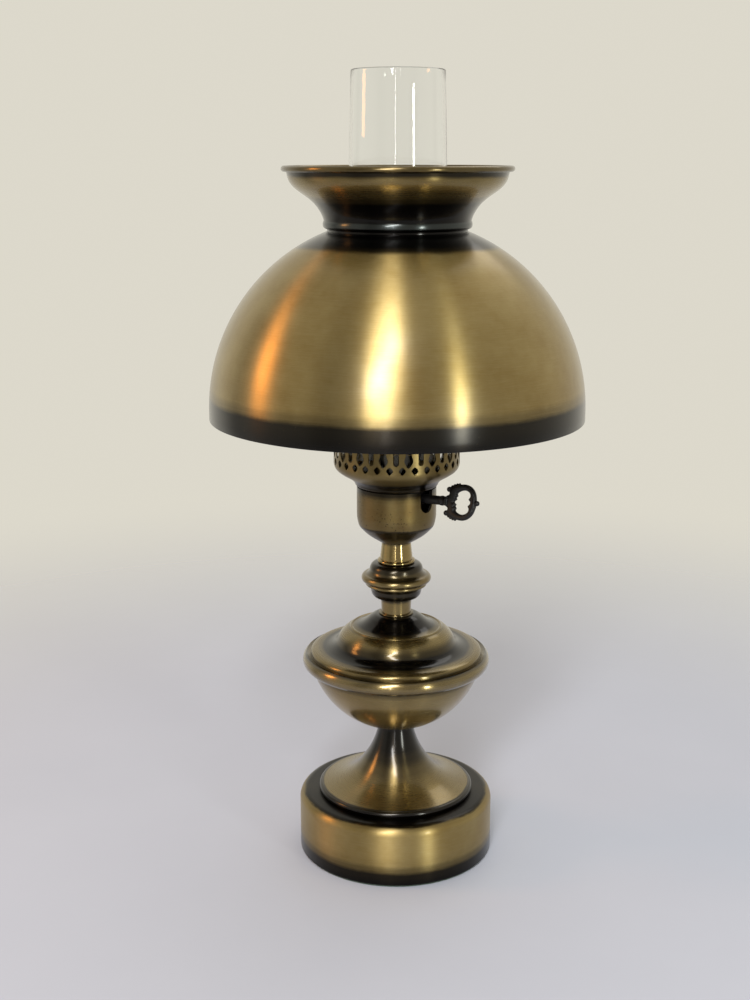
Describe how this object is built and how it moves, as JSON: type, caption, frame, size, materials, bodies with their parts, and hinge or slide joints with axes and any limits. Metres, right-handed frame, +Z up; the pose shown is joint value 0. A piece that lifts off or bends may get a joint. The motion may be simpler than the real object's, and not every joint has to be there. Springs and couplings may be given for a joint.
{
  "type": "table lamp",
  "caption": "Electric brass table lamp shaped like an oil lamp: domed shade with flared crown, clear glass chimney, pierced gallery, key switch, font-shaped body and drum base.",
  "frame": {"origin": "centre of the felt underside, on the lamp's axis", "axes": "+Z up along the lamp's axis, -Y towards the front, the key switch points front right (+X, -Y)"},
  "size_m": [0.254, 0.254, 0.543],
  "materials": {
    "felt": "matte",
    "plinth_brass": "antique brushed brass with dark bands",
    "weight_iron": "rough",
    "bushing_plastic": "matte",
    "foot_brass": "antique brushed brass, dark stem and edge",
    "bowl_brass": "antique brushed brass",
    "rim_brass": "antique polished brass",
    "lid_brass": "antique brass with dark recesses",
    "lower_ring_brass": "dark antique brass",
    "lower_neck_brass": "polished antique brass",
    "knop_brass": "antique brass, dark shoulder and foot",
    "upper_ring_brass": "polished antique brass",
    "upper_neck_brass": "polished brass",
    "pipe_steel": "zinc plated",
    "base_washer_steel": "zinc plated",
    "base_nut_steel": "zinc plated",
    "cup_washer_steel": "zinc plated",
    "cup_nut_steel": "zinc plated",
    "cup_brass": "worn antique brass",
    "liner_board": "matte fibre",
    "socket_plastic": "moulded phenolic",
    "screw_shell_brass": "bright",
    "contact_brass": "bright",
    "terminal_brass": "bright",
    "socket_ring_plastic": "moulded phenolic",
    "spindle_black": "satin black",
    "key_black": "satin black",
    "gallery_brass": "dull antique brass",
    "seat_brass": "dull antique brass",
    "chimney_glass": "clear",
    "bulb_base_brass": "bright",
    "bulb_insulator_glass": "gloss black",
    "bulb_contact_metal": "solder",
    "bulb_glass": "frosted",
    "dome_brass": "antique brushed brass, dark rim band",
    "crown_brass": "antique brass, dark waist",
    "spider_brass": "dull antique brass"
  },
  "bodies": {
    "lamp": {"felt_pad": "felt", "plinth_shell": "plinth_brass", "base_weight": "weight_iron", "cord_bushing": "bushing_plastic", "pedestal_foot": "foot_brass", "font_bowl": "bowl_brass", "font_rim": "rim_brass", "font_lid": "lid_brass", "lower_check_ring": "lower_ring_brass", "lower_neck": "lower_neck_brass", "knop": "knop_brass", "upper_check_ring": "upper_ring_brass", "upper_neck": "upper_neck_brass", "lamp_pipe": "pipe_steel", "base_washer": "base_washer_steel", "base_nut": "base_nut_steel", "cup_washer": "cup_washer_steel", "cup_nut": "cup_nut_steel", "socket_cup": "cup_brass", "cup_liner": "liner_board", "socket_body": "socket_plastic", "screw_shell": "screw_shell_brass", "centre_contact": "contact_brass", "terminal_screws": "terminal_brass", "socket_ring": "socket_ring_plastic", "gallery": "gallery_brass", "chimney_seat": "seat_brass"},
    "key": {"key_spindle": "spindle_black", "key_ring": "key_black"},
    "chimney": {"chimney": "chimney_glass"},
    "bulb": {"bulb_base": "bulb_base_brass", "bulb_insulator": "bulb_insulator_glass", "bulb_contact": "bulb_contact_metal", "bulb_glass": "bulb_glass"},
    "shade": {"shade_dome": "dome_brass", "shade_crown": "crown_brass", "shade_spider": "spider_brass"}
  },
  "joints": [
    {"name": "key_turn", "type": "hinge", "parent": "lamp", "child": "key", "pos_m": [0.02044, -0.0184, 0.2628], "axis": [0.7403, -0.6666, 0.0872], "continuous": true},
    {"name": "shade_lift", "type": "slide", "parent": "lamp", "child": "shade", "axis": [0, 0, 1], "range_m": [0, 0.25]},
    {"name": "chimney_lift", "type": "slide", "parent": "lamp", "child": "chimney", "axis": [0, 0, 1], "range_m": [0, 0.22]},
    {"name": "bulb_turn", "type": "hinge", "parent": "lamp", "child": "bulb", "pos_m": [0, 0, 0.28], "axis": [0, 0, 1], "continuous": true}
  ]
}
